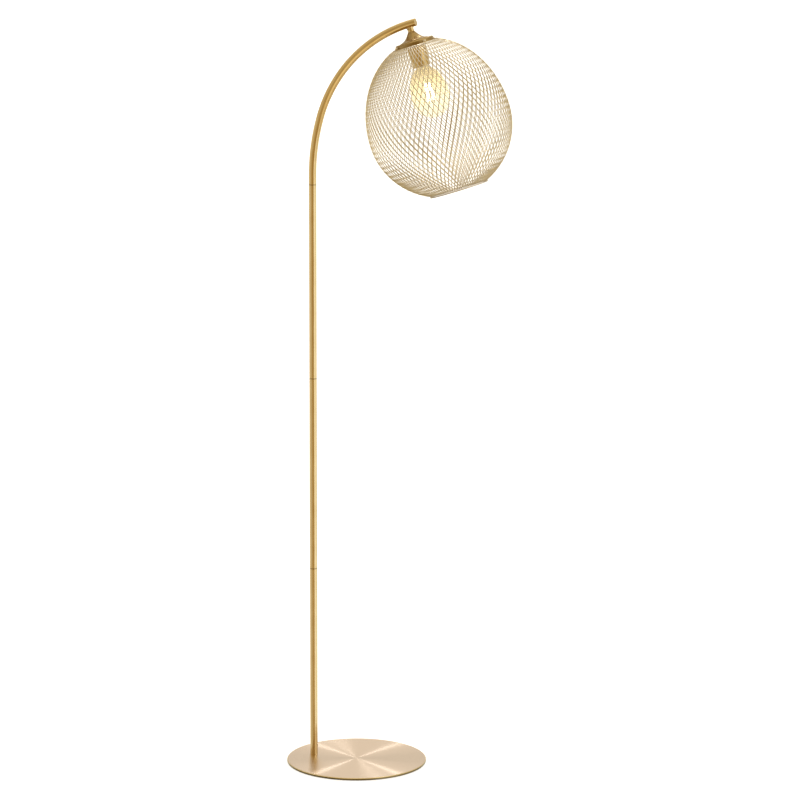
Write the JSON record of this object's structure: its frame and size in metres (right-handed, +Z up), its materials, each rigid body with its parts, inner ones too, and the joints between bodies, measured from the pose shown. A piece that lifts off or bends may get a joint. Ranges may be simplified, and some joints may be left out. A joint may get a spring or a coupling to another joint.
{
  "type": "floor lamp",
  "caption": "Arched floor lamp: off-centre post on a round foot, bent arm, and an expanded-metal globe hung round a screw-in globe bulb.",
  "frame": {"origin": "middle of the round foot's underside, on the floor", "axes": "+Z up; +X from the post towards the globe, in the plane of the arm; +Y to the back as the picture shows it"},
  "size_m": [0.4823, 0.3, 1.6051],
  "materials": {
    "felt": "black felt",
    "foot_metal": "circularly brushed, rose-champagne tone",
    "lamp_metal": "satin, drawn lengthwise",
    "cap_metal": "satin, spun and pressed",
    "net_metal": "satin expanded sheet",
    "steel": "zinc plated",
    "contact_metal": "bright",
    "grommet": "matt black",
    "holder_plastic": "moulded, matt",
    "cable_sheath": "soft sheath",
    "bulb_cap_metal": "plated, bright",
    "bulb_insulation": "black glass",
    "amber_glass": "clear amber",
    "clear_glass": "clear",
    "filament": "coated light strip, lit",
    "bulb_wire": "drawn wire"
  },
  "bodies": {
    "lamp": {"base_pad": "felt", "base_plate": "foot_metal", "foot_screw": "steel", "foot_insert": "steel", "lower_tube": "lamp_metal", "middle_tube": "lamp_metal", "upper_tube": "lamp_metal", "lower_stud": "steel", "middle_stud": "steel", "upper_stud": "steel", "middle_socket": "steel", "upper_socket": "steel", "arm_socket": "steel", "cord_gland": "grommet", "arm_tube": "lamp_metal", "arm_end_plug": "lamp_metal", "neck_boss": "lamp_metal", "centre_nipple": "steel", "bell_cap": "cap_metal", "plate_nut": "steel", "cup_nut": "steel", "shade_plate": "cap_metal", "shade_top_ring": "net_metal", "shade_screws": "cap_metal", "shade_nuts": "steel", "shade_mesh": "net_metal", "shade_bottom_ring": "net_metal", "holder_cup": "cap_metal", "holder_cap": "holder_plastic", "holder_skirt": "holder_plastic", "contact_block": "holder_plastic", "screw_shell": "contact_metal", "centre_contact": "contact_metal", "side_contact": "contact_metal", "terminal_screws": "contact_metal", "core_wires": "cable_sheath", "inner_cable": "cable_sheath"},
    "bulb_carrier": {"bulb_contact": "bulb_cap_metal"},
    "bulb": {"bulb_cap": "bulb_cap_metal", "bulb_insulator": "bulb_insulation", "bulb_glass": "amber_glass", "bulb_stem": "clear_glass", "bulb_filaments": "filament", "bulb_wires": "bulb_wire"}
  },
  "joints": [
    {"name": "bulb_travel", "type": "slide", "parent": "lamp", "child": "bulb_carrier", "axis": [0.309, 0, -0.9511], "range_m": [0, 0.0091]},
    {"name": "bulb_turn", "type": "hinge", "parent": "bulb_carrier", "child": "bulb", "pos_m": [0.1324, 0, 1.53597], "axis": [0.309, 0, -0.9511], "range_deg": [0, 900]}
  ],
  "couplings": [
    {"joint": "bulb_travel", "follows": "bulb_turn", "m_per_rad": 0.0005775}
  ]
}
